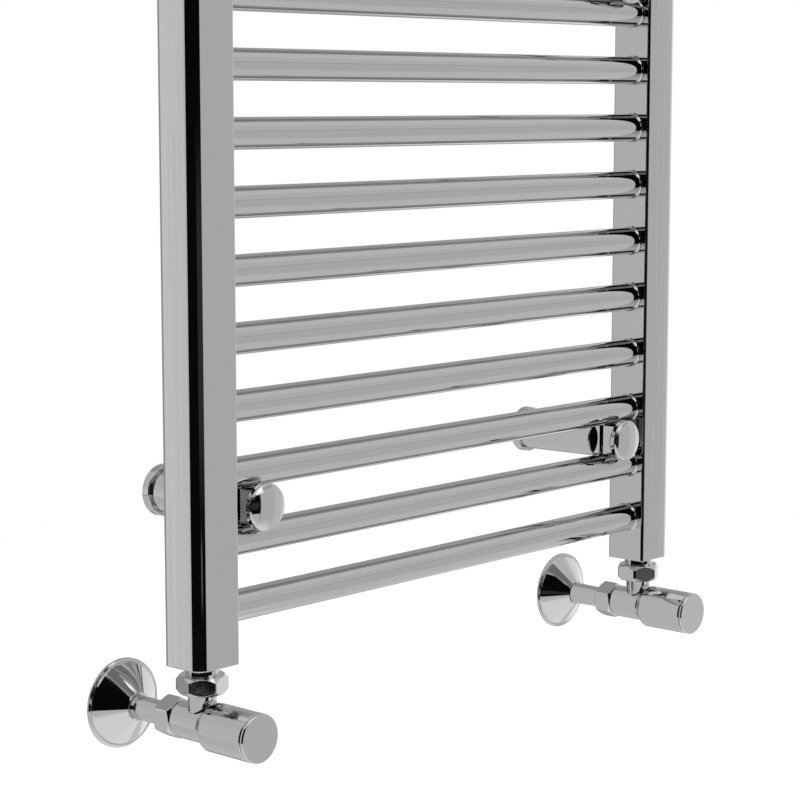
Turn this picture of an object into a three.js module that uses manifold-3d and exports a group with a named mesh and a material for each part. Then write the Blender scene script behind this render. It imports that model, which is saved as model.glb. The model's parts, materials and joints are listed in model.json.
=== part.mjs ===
// Ladder towel radiator with two angled valves and four wall brackets.
// Millimetres, +Z up, +Y into the wall, front towards -Y.
// Origin: on the wall surface, midway between the two supply pipes, at their height.
import * as THREE from 'three';
import { mergeVertices } from 'three/addons/utils/BufferGeometryUtils.js';
import Module from 'manifold-3d';

const wasm = await Module();
wasm.setup();

// ---- driving dimensions ----
const postSpacing = 500; // centre to centre of the two collectors
const wallDistance = 88; // wall surface to the centre plane of collectors and bars
const pipeToCollector = 41; // supply pipe axis up to the collector's lower end

const barCount = 12;
const barPitch = 46;
const barRadius = 11;
const barWall = 1.5;
const endToBar = 36; // collector end to the axis of its nearest bar

const collectorWidth = 37.8;
const collectorDepth = 35.3;
const collectorWall = 2;
const innerCornerRadius = 2; // towards the bars
const rearCornerRadius = 4; // outside, towards the wall
const frontCornerRadius = 8; // outside, towards the room
const capThickness = 3;
const portRadius = 10.7; // half-inch port in each end cap
const portBossRadius = 14;
const portLength = 12;

const gap = 0.3; // clearance between touching pieces
const barSides = 16;
const roundSides = 20;
const tubeSides = 16;
const smallSides = 12;

const headRadius = 17;
const headWall = 2.5;
const bodyRadius = 13;
const bodyThreadRadius = 11; // both threaded ends of the valve body
const branchRadius = 9.8; // neck from the body up to the union nut
const collarRadius = 13.1; // collar on the neck, held by the union nut
const collarHeight = 6.2;
const throatRadius = 9.2; // room for the plug in front of the seat
const waterwayRadius = 5.2;
const pipeRadius = 7.5;
const pipeWall = 1;
const sleeveBackRadius = 9.3;
const sleeveFrontRadius = 8.2;
const coverRadius = 32;
const coverDepth = 18;
const coverFlange = 1.8;
const coverStandOff = 4.5; // the cover slides on the sleeve and isn't pushed fully back
const spindleRadius = 4;
const clipRadius = 6;
const clipThickness = 1.2;
const nutTopZ = 35; // union nut, measured up from the pipe axis
const nutBottomZ = 22;
const unionAcrossCorners = 36.2;
const compressionAcrossCorners = 30;
const leftNutTurn = -13.2; // degrees, the way each union nut ends up when tightened
const rightNutTurn = -3.6;
const fittingThreadRadius = 10.4; // half-inch thread
const unionBore = 7;

const bracketInset = 44.5; // bracket axis inboard of the collector axis
const rosetteRadius = 18.6;
const rosetteDepth = 6.8;
const rosetteLip = 1.7;
const rosetteFloor = 5.4;
const screwHoleRadius = 3.2;
const stemBackRadius = 15.2;
const stemFrontRadius = 15.4;
const clampCapRadius = 16.7;
const clampHalfWidth = 9;
const clampHeight = 24;
const clampSplit = 1.5; // half the slot between the stem's tongue and the clamp

const plugHexCorners = 26;
const ventHeadRadius = 13;
const ventHeadHeight = 9;
const ventBoreRadius = 4;
const ventInletRadius = 1.5;
const ventOutletRadius = 1.1;
const fittingThreadLength = 9;

const collectorBottomZ = pipeToCollector;
const firstBarZ = collectorBottomZ + endToBar;
const lastBarZ = firstBarZ + (barCount - 1) * barPitch;
const collectorTopZ = lastBarZ + endToBar;

// ---- helpers ----
const degrees = Math.PI / 180;

// A closed three.js geometry as a solid that can be joined and cut.
function solidOf(geometry) {
  const bare = geometry.clone();
  bare.deleteAttribute('normal');
  bare.deleteAttribute('uv');
  const merged = mergeVertices(bare, 1e-4);
  const corners = [];
  for (let i = 0; i < merged.index.count; i += 3) {
    const triangle = [0, 1, 2].map((k) => merged.index.getX(i + k));
    if (new Set(triangle).size === 3) corners.push(...triangle);
  }
  return new wasm.Manifold(new wasm.Mesh({
    numProp: 3,
    vertProperties: Float32Array.from(merged.attributes.position.array),
    triVerts: Uint32Array.from(corners),
  }));
}

function geometryOf(solid) {
  const mesh = solid.getMesh();
  const geometry = new THREE.BufferGeometry();
  geometry.setAttribute('position', new THREE.Float32BufferAttribute(mesh.vertProperties, 3));
  geometry.setIndex(Array.from(mesh.triVerts));
  return geometry;
}

// Turned piece about the Y axis. The outline is a list of [radius, y] corners.
// It either starts and ends on the axis or is a ring outline that is closed here.
function turned(outline, sides = roundSides) {
  const points = outline.map(([radius, y]) => new THREE.Vector2(radius, y));
  const onAxis = outline[0][0] === 0;
  if (!onAxis) points.push(points[0].clone());
  let area = 0;
  points.forEach((point, i) => {
    area += point.cross(points[(i + 1) % points.length]);
  });
  if (area < 0) points.reverse();
  return solidOf(new THREE.LatheGeometry(points, sides));
}

// The same with the turning axis upright: the outline is a list of [radius, z] corners.
function turnedUpright(outline, sides = roundSides) {
  return turned(outline, sides).rotate([90, 0, 0]);
}

// A plain cylinder along one axis between two stations.
function rod(axis, radius, from, to, sides = roundSides) {
  const upright = turned([[0, from], [radius, from], [radius, to], [0, to]], sides);
  if (axis === 'x') return upright.rotate([0, 0, -90]);
  return axis === 'z' ? upright.rotate([90, 0, 0]) : upright;
}

function box(width, depth, height, x, y, z) {
  const geometry = new THREE.BoxGeometry(width, depth, height);
  geometry.translate(x, y, z);
  return solidOf(geometry);
}

// Hexagon prism along Y with both ends chamfered, corners pointing up and down.
function hexAlongY(acrossCorners, from, to, chamfer) {
  const prism = new THREE.CylinderGeometry(acrossCorners / 2, acrossCorners / 2, to - from, 6);
  prism.translate(0, (from + to) / 2, 0);
  const flatRadius = acrossCorners / 2 * Math.cos(30 * degrees);
  const tip = acrossCorners / 2 + gap;
  const rounding = turned([
    [0, from], [flatRadius - 0.4, from], [tip, from + chamfer],
    [tip, to - chamfer], [flatRadius - 0.4, to], [0, to],
  ]);
  return solidOf(prism).intersect(rounding);
}

// ---- finishes ----
function finish(color, roughness, metalness) {
  return new THREE.MeshStandardMaterial({ color, roughness, metalness });
}
const chrome = finish(0xd4d6d8, 0.06, 1);
const plainSteel = finish(0x9a9c9e, 0.35, 1);
const brass = finish(0xb99a55, 0.3, 1);
const nickel = finish(0xb9b5aa, 0.2, 1);
const rubber = finish(0x1c1c1c, 0.8, 0);

const radiator = new THREE.Group();

function addPiece(name, solid, material, x = 0, y = 0, z = 0) {
  const mesh = new THREE.Mesh(geometryOf(solid), material);
  mesh.name = name;
  mesh.position.set(x, y, z);
  radiator.add(mesh);
}

// ---- collectors and bars ----
// Outline of the D section: flat towards the bars, rounded on the outside.
// outward is +1 for the right collector and -1 for the left one.
function sectionShape(outward, inset) {
  const halfWidth = collectorWidth / 2 - inset;
  const halfDepth = collectorDepth / 2 - inset;
  const inner = Math.max(innerCornerRadius - inset, 0.5);
  const front = frontCornerRadius - inset;
  const rear = Math.max(rearCornerRadius - inset, 0.5);
  const shape = new THREE.Shape();
  const corners = [
    [halfWidth - front, -halfDepth + front, front, -90],
    [halfWidth - rear, halfDepth - rear, rear, 0],
    [-halfWidth + inner, halfDepth - inner, inner, 90],
    [-halfWidth + inner, -halfDepth + inner, inner, 180],
  ];
  corners.forEach(([x, y, radius, start]) => {
    const steps = Math.max(1, Math.round(radius / 1.4));
    for (let i = 0; i <= steps; i += 1) {
      const angle = (start + 90 * i / steps) * degrees;
      const px = x + radius * Math.cos(angle);
      const py = y + radius * Math.sin(angle);
      if (shape.curves.length === 0 && shape.currentPoint.length() === 0) shape.moveTo(px, py);
      else shape.lineTo(px, py);
    }
  });
  if (outward > 0) return shape;
  const mirrored = shape.getPoints(1).map((point) => new THREE.Vector2(-point.x, point.y));
  return new THREE.Shape(mirrored.reverse());
}

function extruded(shape, from, to) {
  const geometry = new THREE.ExtrudeGeometry(shape, { depth: to - from, bevelEnabled: false });
  geometry.translate(0, 0, from);
  return solidOf(geometry);
}

function collector(outward) {
  const outside = extruded(sectionShape(outward, 0), collectorBottomZ, collectorTopZ);
  const inside = extruded(sectionShape(outward, collectorWall), collectorBottomZ - 1, collectorTopZ + 1);
  let tube = outside.subtract(inside);
  const innerFace = -outward * collectorWidth / 2;
  const holeEnds = [innerFace - collectorWall * 2, innerFace + collectorWall * 2];
  for (let i = 0; i < barCount; i += 1) {
    const hole = rod('x', barRadius + gap, holeEnds[0], holeEnds[1], barSides);
    tube = tube.subtract(hole.translate([0, 0, firstBarZ + i * barPitch]));
  }
  return tube;
}

// End plate with a threaded port; side is +1 at the top end and -1 at the bottom end.
function collectorCap(outward, side) {
  const end = side > 0 ? collectorTopZ : collectorBottomZ;
  const plateEnds = [end, end - side * capThickness].sort((a, b) => a - b);
  const bossEnds = [end, end - side * portLength].sort((a, b) => a - b);
  const plate = extruded(sectionShape(outward, collectorWall + gap), plateEnds[0], plateEnds[1]);
  const boss = rod('z', portBossRadius, bossEnds[0], bossEnds[1]);
  const port = rod('z', portRadius, bossEnds[0] - 1, bossEnds[1] + 1);
  return plate.add(boss).subtract(port);
}

function bar() {
  const end = postSpacing / 2 - collectorWidth / 2 + collectorWall;
  const tube = turned([
    [barRadius - barWall, -end], [barRadius, -end], [barRadius, end], [barRadius - barWall, end],
  ], barSides);
  return tube.rotate([0, 0, -90]);
}

// ---- wall brackets ----
// Turning axis along Y at the middle of a gap between two bars.
// A cup with a screw hole in its floor; a groove is left open between its lip and the stem.
function rosette() {
  const mouth = rosetteRadius - rosetteLip;
  const bevel = 0.8;
  return turned([
    [screwHoleRadius, 0], [rosetteRadius, 0], [rosetteRadius, bevel - rosetteDepth],
    [rosetteRadius - bevel, -rosetteDepth], [mouth, -rosetteDepth], [mouth, -rosetteFloor],
    [screwHoleRadius, -rosetteFloor],
  ]);
}

// The two bars that a bracket grips, a little oversize, to cut its saddles.
function grippedBars() {
  const reach = 2 * clampCapRadius;
  const upper = rod('x', barRadius + gap, -reach, reach)
    .translate([0, -wallDistance, barPitch / 2]);
  const lower = upper.translate([0, 0, -barPitch]);
  return upper.add(lower);
}

// Block between the two gripped bars, from one depth to another.
function gripBlock(backY, frontY) {
  return box(clampHalfWidth * 2, backY - frontY, clampHeight, 0, (backY + frontY) / 2, 0);
}

function bracketStem() {
  const footY = -rosetteFloor - gap;
  const shoulderY = -wallDistance + 8;
  const tongueY = -wallDistance + clampSplit;
  const column = turned([
    [0, footY], [stemBackRadius, footY], [stemFrontRadius, shoulderY], [0, shoulderY],
  ]);
  return column.add(gripBlock(shoulderY + 2, tongueY)).subtract(grippedBars());
}

function bracketClamp() {
  const capBackY = -wallDistance - 12;
  const rimY = capBackY - 6;
  const tipY = capBackY - 10;
  const bevel = 2.5;
  const cap = turned([
    [0, capBackY], [clampCapRadius - bevel, capBackY], [clampCapRadius, capBackY - bevel],
    [clampCapRadius, rimY], [clampCapRadius * 0.9, rimY - 1.8],
    [clampCapRadius / 2, tipY + 0.6], [0, tipY],
  ]);
  return gripBlock(-wallDistance - clampSplit, capBackY - 2).add(cap).subtract(grippedBars());
}

// ---- angled valve ----
// Built about the supply pipe axis: x and z are zero on it, y is zero at the wall.
const unionY = -wallDistance;
const bodyBackY = unionY + 20;
const bodyFrontY = unionY - 7.2;
const nutBackY = unionY + 36;
const nutFrontY = bodyBackY + 0.5;
const socketEndY = unionY + 14;
const seatY = unionY + 6.5;
const threadEndY = nutBackY - 6.5;
const collarEndY = bodyFrontY - 10.8;
const headBackY = bodyFrontY - 0.4;
const headFrontY = unionY - 53;
const discFrontY = unionY - 56;

// Thin cone with a flat rim; it is hollow behind and slides on the pipe sleeve.
function wallCover() {
  const hole = sleeveBackRadius + gap;
  const wall = 1.2;
  const sides = 24;
  return turned([
    [coverRadius, 0], [coverRadius, -coverFlange], [coverRadius - 1.6, -coverFlange - 0.8],
    [hole + wall / 2, -coverDepth], [hole, -coverDepth], [hole, wall - coverDepth],
    [coverRadius - 2.6, -wall], [coverRadius - wall, 0],
  ], sides);
}

function pipeSleeve() {
  const bore = pipeRadius + gap;
  const backY = -0.5;
  const frontY = nutBackY + gap;
  return turned([
    [bore, backY], [sleeveBackRadius, backY], [sleeveFrontRadius, frontY], [bore, frontY],
  ], tubeSides);
}

function supplyPipe() {
  return turned([
    [pipeRadius - pipeWall, 0], [pipeRadius, 0],
    [pipeRadius, socketEndY + gap], [pipeRadius - pipeWall, socketEndY + gap],
  ], smallSides);
}

function compressionNut() {
  const outside = hexAlongY(compressionAcrossCorners, nutFrontY, nutBackY, 1.8);
  const lip = 2.2;
  const pipeHole = rod('y', pipeRadius + gap, nutFrontY - 1, nutBackY + 1, smallSides);
  const threadHole = rod('y', bodyThreadRadius + gap, nutFrontY - 1, nutBackY - lip);
  return outside.subtract(pipeHole).subtract(threadHole);
}

// Brass ring with two slopes, squeezed on the pipe by the compression nut.
function olive() {
  const bore = pipeRadius + gap;
  const middleY = nutBackY - 5;
  const frontY = middleY - 2.8;
  const backY = middleY + 2.4;
  return turned([
    [bore, frontY], [bore + 0.5, frontY], [bore + 2, middleY], [bore + 0.7, backY], [bore, backY],
  ], smallSides);
}

// Straight barrel with the neck rising from it; both ends are threaded.
function valveBody() {
  const collarFootZ = nutBottomZ + 1.8;
  const collarTopZ = collarFootZ + collarHeight;
  const neckFootZ = 2;
  const shell = turned([
    [0, threadEndY], [bodyThreadRadius, threadEndY], [bodyThreadRadius, bodyBackY],
    [bodyRadius, bodyBackY], [bodyRadius, bodyFrontY], [bodyThreadRadius, bodyFrontY],
    [bodyThreadRadius, collarEndY], [0, collarEndY],
  ]);
  const headRoom = rod('y', headRadius + 2 * gap, collarEndY, bodyFrontY);
  const branch = turnedUpright([
    [0, neckFootZ], [branchRadius, neckFootZ], [branchRadius, collarFootZ - 1],
    [collarRadius, collarFootZ], [collarRadius, collarTopZ], [0, collarTopZ],
  ]).translate([0, unionY, 0]).subtract(headRoom);
  const pipeBore = pipeRadius + gap;
  const passage = turned([
    [0, threadEndY + 1], [pipeBore + 3.1, threadEndY + 1], [pipeBore, threadEndY - 2.2],
    [pipeBore, socketEndY], [waterwayRadius, socketEndY], [waterwayRadius, seatY],
    [throatRadius, seatY], [throatRadius, collarEndY - 1], [0, collarEndY - 1],
  ], tubeSides);
  const rise = rod('z', branchRadius - 3, 0, collarTopZ + 1, smallSides).translate([0, unionY, 0]);
  return shell.add(branch).subtract(passage).subtract(rise);
}

function unionTail() {
  const flangeRadius = collarRadius - 0.1;
  const neckRadius = 11.4;
  const flangeBottomZ = nutBottomZ + 10.8;
  const flangeTopZ = nutTopZ - 1.9;
  const neckTopZ = pipeToCollector - gap;
  const threadTopZ = pipeToCollector + fittingThreadLength;
  return turnedUpright([
    [unionBore, flangeBottomZ], [flangeRadius, flangeBottomZ], [flangeRadius, flangeTopZ],
    [neckRadius, flangeTopZ], [neckRadius, neckTopZ], [fittingThreadRadius, neckTopZ],
    [fittingThreadRadius, threadTopZ], [unionBore, threadTopZ],
  ], tubeSides);
}

function unionNut(turn) {
  const lip = 1.6;
  const outside = hexAlongY(unionAcrossCorners, nutBottomZ, nutTopZ, 3).rotate([90, 0, 0]);
  const thread = rod('z', collarRadius + 0.4, nutBottomZ - 1, nutTopZ - lip);
  const mouth = rod('z', 11.8, nutBottomZ - 1, nutTopZ + 1);
  return outside.subtract(thread).subtract(mouth).rotate([0, 0, turn]);
}

// Brass stuffing box: a sleeve in the valve's throat, a flange, and a neck round the spindle.
const bonnetFlangeY = collarEndY - gap;
const bonnetFrontY = bonnetFlangeY - 11.5;

function bonnet() {
  const bore = spindleRadius + gap;
  const throat = throatRadius - gap;
  const room = 6.2; // space for the plug's tail inside the sleeve
  const neck = 6.5;
  const backY = bodyFrontY - 2;
  const roomEndY = backY - 6;
  const flangeEndY = bonnetFlangeY - 4.5;
  return turned([
    [room, backY], [throat, backY], [throat, bonnetFlangeY], [bodyThreadRadius, bonnetFlangeY],
    [bodyThreadRadius, flangeEndY], [neck, flangeEndY], [neck, bonnetFrontY], [bore, bonnetFrontY],
    [bore, roomEndY], [room, roomEndY],
  ], smallSides + 2);
}

const plugLength = 14.8;
const plugFaceY = seatY - gap;
const plugFrontY = plugFaceY - plugLength;
const spindleBackY = plugFrontY + 4.2;

// Rubber-faced disc with a hollow tail that the spindle screws into.
function valvePlug() {
  const bore = spindleRadius + gap;
  const faceRadius = 7;
  const tailRadius = 5.6;
  const stepY = plugFaceY - 4.6;
  const boreEndY = plugFrontY + 8.4;
  return turned([
    [0, plugFaceY], [faceRadius, plugFaceY], [faceRadius, stepY], [tailRadius, stepY],
    [tailRadius, plugFrontY], [bore, plugFrontY], [bore, boreEndY], [0, boreEndY],
  ], smallSides);
}

// Stem with a clip ring in front of the bonnet; reach is how far it stands out of the bonnet.
function spindle(reach) {
  const clipY = bonnetFrontY - gap;
  const clipEndY = clipY - clipThickness;
  const frontY = bonnetFrontY - reach;
  return turned([
    [0, spindleBackY], [spindleRadius, spindleBackY], [spindleRadius, clipY], [clipRadius, clipY],
    [clipRadius, clipEndY], [spindleRadius, clipEndY], [spindleRadius, frontY], [0, frontY],
  ], smallSides);
}

// The lockshield's bare stem ends in a square for a key.
function lockshieldSpindle() {
  const reach = 9;
  const keyLength = 7;
  const keySide = 5.5;
  const clear = 4 * spindleRadius;
  const keyY = bonnetFrontY - reach + keyLength / 2;
  const waste = box(clear, keyLength, clear, 0, keyY, 0)
    .subtract(box(keySide, keyLength + 2, keySide, 0, keyY, 0));
  return spindle(reach).subtract(waste);
}

// Outside of both heads: tapered foot, straight barrel, small edge break at the front.
const headTaper = 5.4;
const headOutside = [
  [bodyRadius + 0.2, headBackY], [headRadius, headBackY - headTaper],
  [headRadius, headFrontY + 0.6], [headRadius - 0.5, headFrontY],
];
const headBore = headRadius - headWall;

// Hand wheel: a web and a hub inside the barrel grip the spindle.
function wheelHead() {
  const footBore = bodyThreadRadius + 0.5;
  const hubRadius = 8;
  const webY = bonnetFrontY - 2;
  const webEndY = webY - 3;
  const hubEndY = webY - 17;
  const bore = spindleRadius + gap;
  return turned([
    ...headOutside, [headBore, headFrontY], [headBore, webEndY], [hubRadius, webEndY],
    [hubRadius, hubEndY], [bore, hubEndY], [bore, webY], [headBore, webY],
    [headBore, headBackY - 9], [footBore, headBackY - 5], [footBore, headBackY],
  ]);
}

// Push-on cover over the lockshield stem, gripping the body's threaded end.
function lockshieldCap() {
  const gripBore = bodyThreadRadius + 0.4;
  const gripEndY = bonnetFlangeY - 3.6;
  return turned([
    ...headOutside, [headBore, headFrontY], [headBore, gripEndY], [gripBore, gripEndY],
    [gripBore, headBackY],
  ]);
}

// Flat disc that closes a head, with a spigot inside its barrel.
function headDisc() {
  const spigotRadius = headBore - gap;
  const backY = headFrontY - gap;
  const spigotEndY = backY + 3;
  const edge = 0.9;
  return turned([
    [0, spigotEndY], [spigotRadius, spigotEndY], [spigotRadius, backY],
    [headRadius - 0.5, backY], [headRadius, backY - 0.5], [headRadius, discFrontY + edge],
    [headRadius - edge, discFrontY], [0, discFrontY],
  ]);
}

// ---- upper fittings ----
const fittingFootZ = collectorTopZ - fittingThreadLength;
const fittingSeatZ = collectorTopZ + gap;

function blankingPlug() {
  const hexHeight = 5.7;
  const hex = hexAlongY(plugHexCorners, fittingSeatZ, fittingSeatZ + hexHeight, 1.2);
  const thread = rod('z', fittingThreadRadius, fittingFootZ, fittingSeatZ + 1, tubeSides);
  return hex.rotate([90, 0, 0]).add(thread);
}

const ventHeadTopZ = collectorTopZ + ventHeadHeight;
const ventFloorZ = collectorTopZ - 1;

function ventBody() {
  const bevel = 1.2;
  const outletZ = collectorTopZ + 3;
  const outside = turnedUpright([
    [0, fittingFootZ], [fittingThreadRadius, fittingFootZ], [fittingThreadRadius, fittingSeatZ],
    [ventHeadRadius, fittingSeatZ], [ventHeadRadius, ventHeadTopZ - bevel],
    [ventHeadRadius - bevel, ventHeadTopZ], [0, ventHeadTopZ],
  ]);
  const bore = rod('z', ventBoreRadius, ventFloorZ, ventHeadTopZ + 1, smallSides);
  const inlet = rod('z', ventInletRadius, fittingFootZ - 1, ventFloorZ + 1, smallSides);
  const outlet = rod('y', ventOutletRadius, -ventHeadRadius - 1, 0, 8).translate([0, 0, outletZ]);
  return outside.subtract(bore).subtract(inlet).subtract(outlet);
}

function ventScrew() {
  const radius = ventBoreRadius - gap;
  const tipZ = ventFloorZ + gap;
  const shoulderZ = ventHeadTopZ - 1;
  const keySide = 4.6;
  const keyTall = 5;
  const shaft = turnedUpright([
    [0, tipZ], [1, tipZ], [radius, tipZ + 2.7], [radius, shoulderZ], [0, shoulderZ],
  ], smallSides);
  return shaft.add(box(keySide, keySide, keyTall, 0, 0, shoulderZ + 2));
}

// ---- assembly ----
const sides = [
  { name: 'left', outward: -1, nutTurn: leftNutTurn },
  { name: 'right', outward: 1, nutTurn: rightNutTurn },
];

sides.forEach(({ name, outward }) => {
  const x = outward * postSpacing / 2;
  addPiece(`collector_${name}`, collector(outward), chrome, x, -wallDistance, 0);
  addPiece(`collector_${name}_bottom_cap`, collectorCap(outward, -1), chrome, x, -wallDistance, 0);
  addPiece(`collector_${name}_top_cap`, collectorCap(outward, 1), chrome, x, -wallDistance, 0);
});

for (let i = 0; i < barCount; i += 1) {
  const number = String(i + 1).padStart(2, '0');
  addPiece(`bar_${number}`, bar(), chrome, 0, -wallDistance, firstBarZ + i * barPitch);
}

const bracketRows = [
  { name: 'lower', z: firstBarZ + 1.5 * barPitch },
  { name: 'upper', z: lastBarZ - 1.5 * barPitch },
];
bracketRows.forEach((row) => {
  sides.forEach(({ name, outward }) => {
    const x = outward * (postSpacing / 2 - bracketInset);
    const prefix = `bracket_${row.name}_${name}`;
    addPiece(`${prefix}_rosette`, rosette(), chrome, x, 0, row.z);
    addPiece(`${prefix}_stem`, bracketStem(), chrome, x, 0, row.z);
    addPiece(`${prefix}_clamp`, bracketClamp(), chrome, x, 0, row.z);
  });
});

sides.forEach(({ name, outward, nutTurn }) => {
  const x = outward * postSpacing / 2;
  const prefix = `valve_${name}`;
  addPiece(`${prefix}_wall_cover`, wallCover(), chrome, x, -coverStandOff);
  addPiece(`${prefix}_pipe_sleeve`, pipeSleeve(), chrome, x);
  addPiece(`${prefix}_supply_pipe`, supplyPipe(), plainSteel, x);
  addPiece(`${prefix}_compression_nut`, compressionNut(), chrome, x);
  addPiece(`${prefix}_olive`, olive(), brass, x);
  addPiece(`${prefix}_body`, valveBody(), chrome, x);
  addPiece(`${prefix}_union_tail`, unionTail(), chrome, x, unionY);
  addPiece(`${prefix}_union_nut`, unionNut(nutTurn), chrome, x, unionY);
  addPiece(`${prefix}_bonnet`, bonnet(), brass, x);
  addPiece(`${prefix}_plug`, valvePlug(), rubber, x);
});
const leftX = -postSpacing / 2;
const rightX = postSpacing / 2;
addPiece('valve_left_spindle', spindle(20), nickel, leftX);
addPiece('valve_left_wheel_head', wheelHead(), chrome, leftX);
addPiece('valve_left_head_disc', headDisc(), chrome, leftX);
addPiece('valve_right_spindle', lockshieldSpindle(), nickel, rightX);
addPiece('valve_right_lockshield_cap', lockshieldCap(), chrome, rightX);
addPiece('valve_right_cap_disc', headDisc(), chrome, rightX);

addPiece('blanking_plug', blankingPlug(), chrome, leftX, -wallDistance, 0);
addPiece('air_vent_body', ventBody(), chrome, rightX, -wallDistance, 0);
addPiece('air_vent_screw', ventScrew(), nickel, rightX, -wallDistance, 0);

export default radiator;
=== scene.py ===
# Chrome ladder towel radiator with two angled valves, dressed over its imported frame.
# Sizes in the dictionaries are millimetres. Turned pieces run forward from their own back face.
import json
import math
import bmesh
import bpy
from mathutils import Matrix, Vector


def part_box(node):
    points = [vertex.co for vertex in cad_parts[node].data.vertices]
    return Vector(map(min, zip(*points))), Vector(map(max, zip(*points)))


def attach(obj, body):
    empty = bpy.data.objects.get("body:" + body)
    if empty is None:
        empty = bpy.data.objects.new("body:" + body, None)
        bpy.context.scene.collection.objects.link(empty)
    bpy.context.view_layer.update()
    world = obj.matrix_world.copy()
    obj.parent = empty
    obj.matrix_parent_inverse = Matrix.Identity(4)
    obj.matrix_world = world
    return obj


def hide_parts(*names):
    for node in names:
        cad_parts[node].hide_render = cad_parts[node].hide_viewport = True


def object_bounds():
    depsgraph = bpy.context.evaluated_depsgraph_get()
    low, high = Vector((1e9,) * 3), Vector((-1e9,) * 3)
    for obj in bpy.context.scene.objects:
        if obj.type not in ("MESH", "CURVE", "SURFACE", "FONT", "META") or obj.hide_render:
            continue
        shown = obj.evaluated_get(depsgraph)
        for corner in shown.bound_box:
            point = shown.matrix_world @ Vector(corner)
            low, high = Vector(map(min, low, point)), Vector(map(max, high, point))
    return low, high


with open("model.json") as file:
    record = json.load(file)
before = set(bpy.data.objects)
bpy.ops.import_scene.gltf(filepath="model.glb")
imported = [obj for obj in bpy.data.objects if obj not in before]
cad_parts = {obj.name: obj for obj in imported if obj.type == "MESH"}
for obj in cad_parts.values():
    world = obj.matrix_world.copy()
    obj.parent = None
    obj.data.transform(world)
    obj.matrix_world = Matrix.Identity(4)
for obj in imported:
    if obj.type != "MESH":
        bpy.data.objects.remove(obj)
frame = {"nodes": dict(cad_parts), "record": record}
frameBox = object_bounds()
mm = 0.001
bodyOfNode = {
    node: body
    for body, nodes in frame["record"]["behaviour"]["bodies"].items()
    for node in nodes
}


# camera, standing left of the radiator and a little above its middle
cameraSetup = {
    "place": (-1.2734, -1.1920, 0.4201),  # metres
    "turn": 47.95,  # degrees from straight at the wall, towards the right
    "dip": 7.51,
    "lens": 101.84,
}
cameraData = bpy.data.cameras.new("roomCamera")
cameraData.lens = cameraSetup["lens"]
cameraData.sensor_width = 36
camera = bpy.data.objects.new("roomCamera", cameraData)
camera.location = cameraSetup["place"]
camera.rotation_euler = (
    math.radians(90 - cameraSetup["dip"]), 0, -math.radians(cameraSetup["turn"])
)
bpy.context.scene.collection.objects.link(camera)
bpy.context.scene.camera = camera
print("camera placed")


# studio: pale floor and soft panels all round, each with its azimuth and elevation limits in degrees
# azimuth 0 is straight ahead of the radiator, +90 is its right side; later panels cover earlier ones
studio = {
    "floorDrop": 110,  # below the lowest point of the radiator
    "floorRadius": 1300,
    "floorColor": 0.86,
    "floorFleck": 0.97,  # how pale the darkest fibres stay
    "fibreScale": 900,
    "floorLift": 0.55,
    "roomGlow": 0.73,
    "panels": (
        {"name": "backWall", "turn": (-180, -139.2), "rise": (-40, 62), "glow": 0.70, "edge": 0.3},
        {"name": "wallDim", "turn": (-180, -139.2), "rise": (-16.5, 14), "glow": 0.43, "edge": 0.5},
        {"name": "backWallRight", "turn": (138, 180), "rise": (-40, 62), "glow": 0.43, "edge": 2},
        {"name": "wallShade", "turn": (-139.2, -122), "rise": (-40, 62), "glow": 0.74, "edge": 0.7},
        {"name": "leftWall", "turn": (-139.2, -137.72), "rise": (-15, 4), "glow": 0.93, "edge": 0.08},
        {"name": "leftPost", "turn": (-137.72, -136.3), "rise": (-15, 4), "glow": 0.85, "edge": 0.08},
        {"name": "rightRoom", "turn": (54.4, 73), "rise": (-34, 9), "glow": 0.78, "edge": 0.4},
        {"name": "cardEdge", "turn": (26, 54.4), "rise": (-36, 12.5), "glow": 0.50, "edge": 0.6},
        {"name": "rightCard", "turn": (28, 54.45), "rise": (-34, 10), "glow": 0.68, "edge": 0.12},
        {"name": "rightWall", "turn": (72, 122), "rise": (-34, 28), "glow": 1.05, "edge": 3},
        {"name": "upperRight", "turn": (58, 112), "rise": (28, 62), "glow": 0.80, "edge": 2},
        {"name": "farRight", "turn": (122, 138), "rise": (-40, 62), "glow": 0.45, "edge": 1.5},
        {"name": "farUpper", "turn": (112, 124), "rise": (26, 62), "glow": 0.48, "edge": 1.5},
        {"name": "lowRight", "turn": (54.4, 124), "rise": (-48, -34), "glow": 0.78, "edge": 0.6},
        {"name": "floorRight", "turn": (50, 124), "rise": (-90, -47), "glow": 1.1, "edge": 1.5},
        {"name": "frontFloor", "turn": (-100, 52), "rise": (-90, -27), "glow": 1.05, "edge": 6},
        {"name": "topBox", "turn": (-75, 42), "rise": (44, 62), "glow": 1.6, "edge": 3},
        {"name": "capLight", "turn": (5, 33), "rise": (8, 30), "glow": 1.7, "edge": 2},
        {"name": "darkLow", "turn": (-122.6, 27), "rise": (-15.3, 7), "glow": 0.004, "edge": 0.15},
        {"name": "darkHigh", "turn": (-122.6, 3), "rise": (6, 42), "glow": 0.004, "edge": 1.2},
        {"name": "glimmer", "turn": (-26, 24), "rise": (-9.5, -2), "glow": 0.04, "edge": 2},
        {"name": "nutGlimmer", "turn": (-20, -5), "rise": (-12.6, -11.1), "glow": 0.13, "edge": 0.4},
    ),
}


def mathNode(tree, operation, first, second=None, third=None):
    node = tree.nodes.new("ShaderNodeMath")
    node.operation = operation
    for slot, value in enumerate((first, second, third)):
        if value is None:
            continue
        if isinstance(value, (int, float)):
            node.inputs[slot].default_value = value
        else:
            tree.links.new(value, node.inputs[slot])
    return node.outputs[0]


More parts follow.
